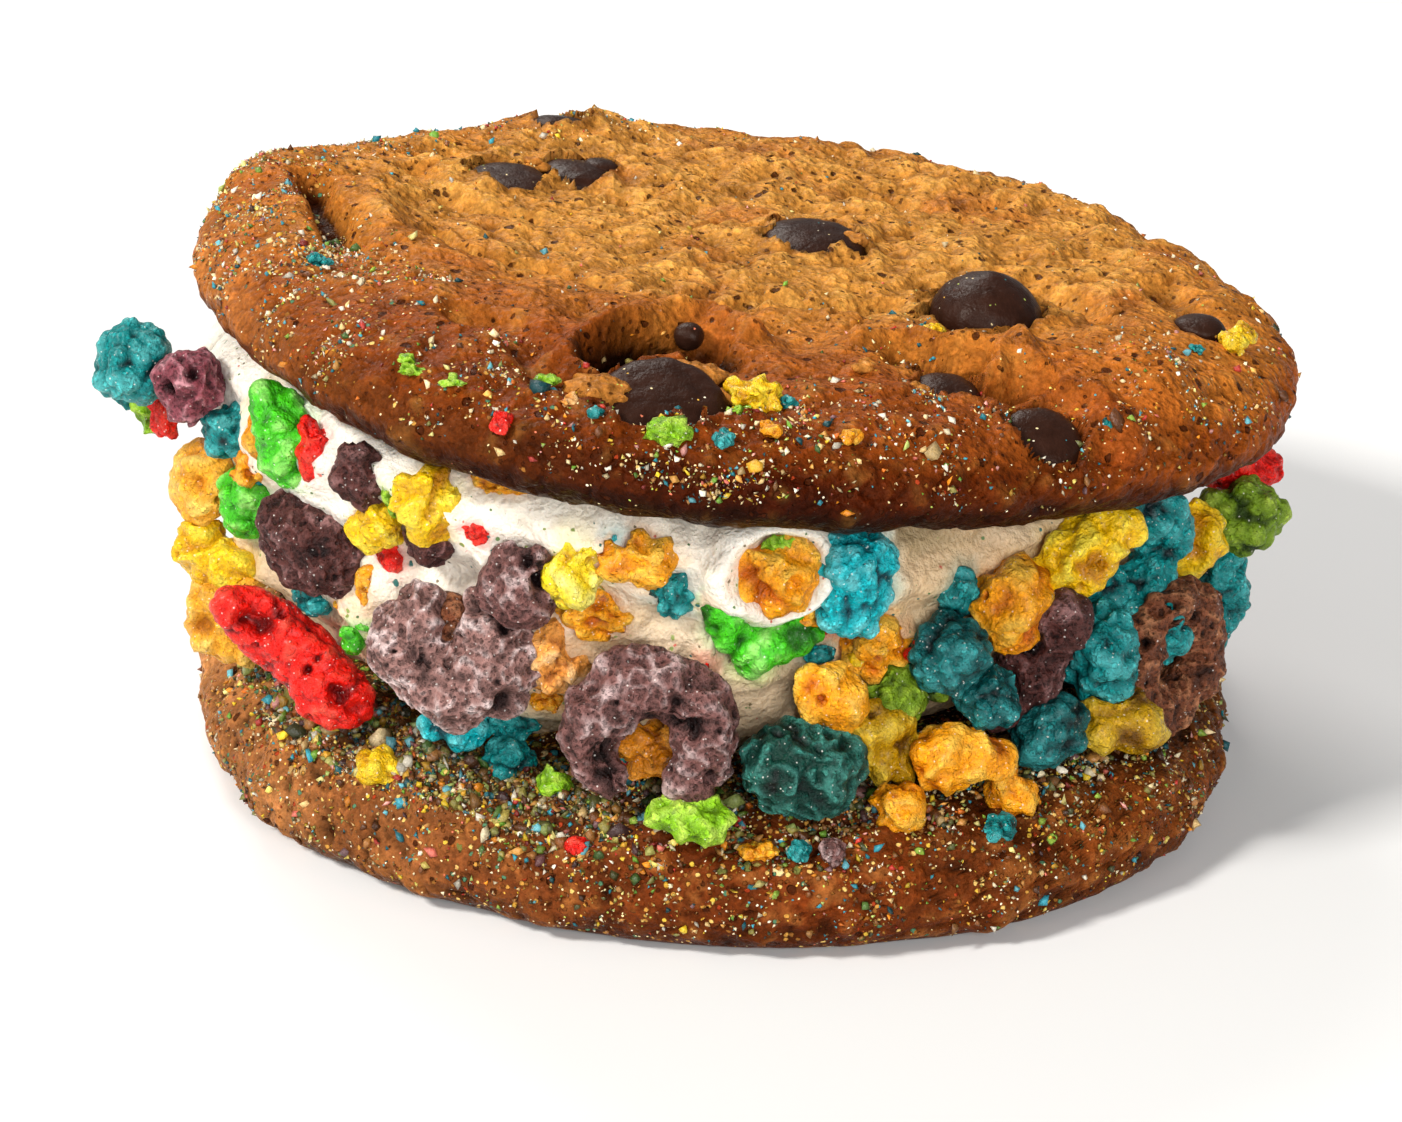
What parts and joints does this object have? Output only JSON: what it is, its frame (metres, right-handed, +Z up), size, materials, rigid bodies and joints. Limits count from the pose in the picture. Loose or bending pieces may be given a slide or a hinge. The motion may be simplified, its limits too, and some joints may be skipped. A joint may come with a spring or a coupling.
{
  "type": "cookie ice cream sandwich",
  "caption": "Two round chocolate chip cookies with a thick slab of vanilla ice cream between them, its side crusted with bright broken cereal loops; a dessert eaten by hand.",
  "frame": {"origin": "middle of the lower cookie's flat underside", "axes": "+Z up, through both cookies; the pictured front faces -Y, and the upper cookie's low edge is towards +X"},
  "size_m": [0.1023, 0.0941, 0.0493],
  "materials": {
    "cereal_blue": "porous, sugary",
    "cereal_green": "porous, sugary",
    "cereal_orange": "porous, sugary",
    "cereal_purple": "porous, sugary",
    "cereal_red": "porous, sugary",
    "cereal_teal": "porous, sugary",
    "cereal_yellow": "porous, sugary",
    "chocolate": "melted and set, slightly glossy",
    "cookie": "baked, craggy, matt",
    "ice_cream": "smooth, slightly melted"
  },
  "bodies": {
    "root": {"blue_puff_front": "cereal_blue", "blue_puff_low_left": "cereal_blue", "bottom_cookie": "cookie", "brown_ring_right": "cereal_purple", "chip_back": "chocolate", "chip_back_left": "chocolate", "chip_far_back": "chocolate", "chip_front": "chocolate", "chip_front_small": "chocolate", "chip_middle": "chocolate", "chip_right": "chocolate", "chip_rim": "chocolate", "green_arc_back_5": "cereal_green", "green_arc_front": "cereal_green", "green_bar_upper_left": "cereal_green", "green_puff_back_10": "cereal_green", "green_puff_back_4": "cereal_green", "green_puff_back_6": "cereal_green", "green_puff_far_right": "cereal_green", "green_puff_leaf": "cereal_green", "green_puff_left": "cereal_green", "green_puff_low": "cereal_green", "green_ring_back_11": "cereal_green", "ice_cream": "ice_cream", "orange_arc_left": "cereal_orange", "orange_puff_front": "cereal_orange", "orange_puff_horn": "cereal_orange", "orange_puff_inside": "cereal_orange", "orange_puff_left": "cereal_orange", "orange_puff_low": "cereal_orange", "orange_puff_middle": "cereal_orange", "purple_arc_back_1": "cereal_purple", "purple_arc_back_9": "cereal_purple", "purple_arc_left": "cereal_purple", "purple_bar_right": "cereal_purple", "purple_puff_back_2": "cereal_purple", "purple_puff_back_8": "cereal_purple", "purple_puff_far_left": "cereal_purple", "purple_puff_front": "cereal_purple", "purple_puff_upper_left": "cereal_purple", "purple_ring_back_3": "cereal_purple", "purple_ring_back_7": "cereal_purple", "purple_ring_front": "cereal_purple", "red_bar_left": "cereal_red", "red_puff_far_right": "cereal_red", "teal_puff_far_left": "cereal_teal", "teal_puff_far_right": "cereal_teal", "teal_puff_front": "cereal_teal", "teal_puff_low_right": "cereal_teal", "teal_puff_lower": "cereal_teal", "teal_puff_middle": "cereal_teal", "teal_puff_right": "cereal_teal", "teal_puff_side": "cereal_teal", "teal_ring_right": "cereal_teal", "top_cookie": "cookie", "yellow_arc_left": "cereal_yellow", "yellow_puff_far_right": "cereal_yellow", "yellow_puff_low": "cereal_yellow", "yellow_puff_low_right": "cereal_yellow", "yellow_puff_right": "cereal_yellow"}
  },
  "joints": []
}
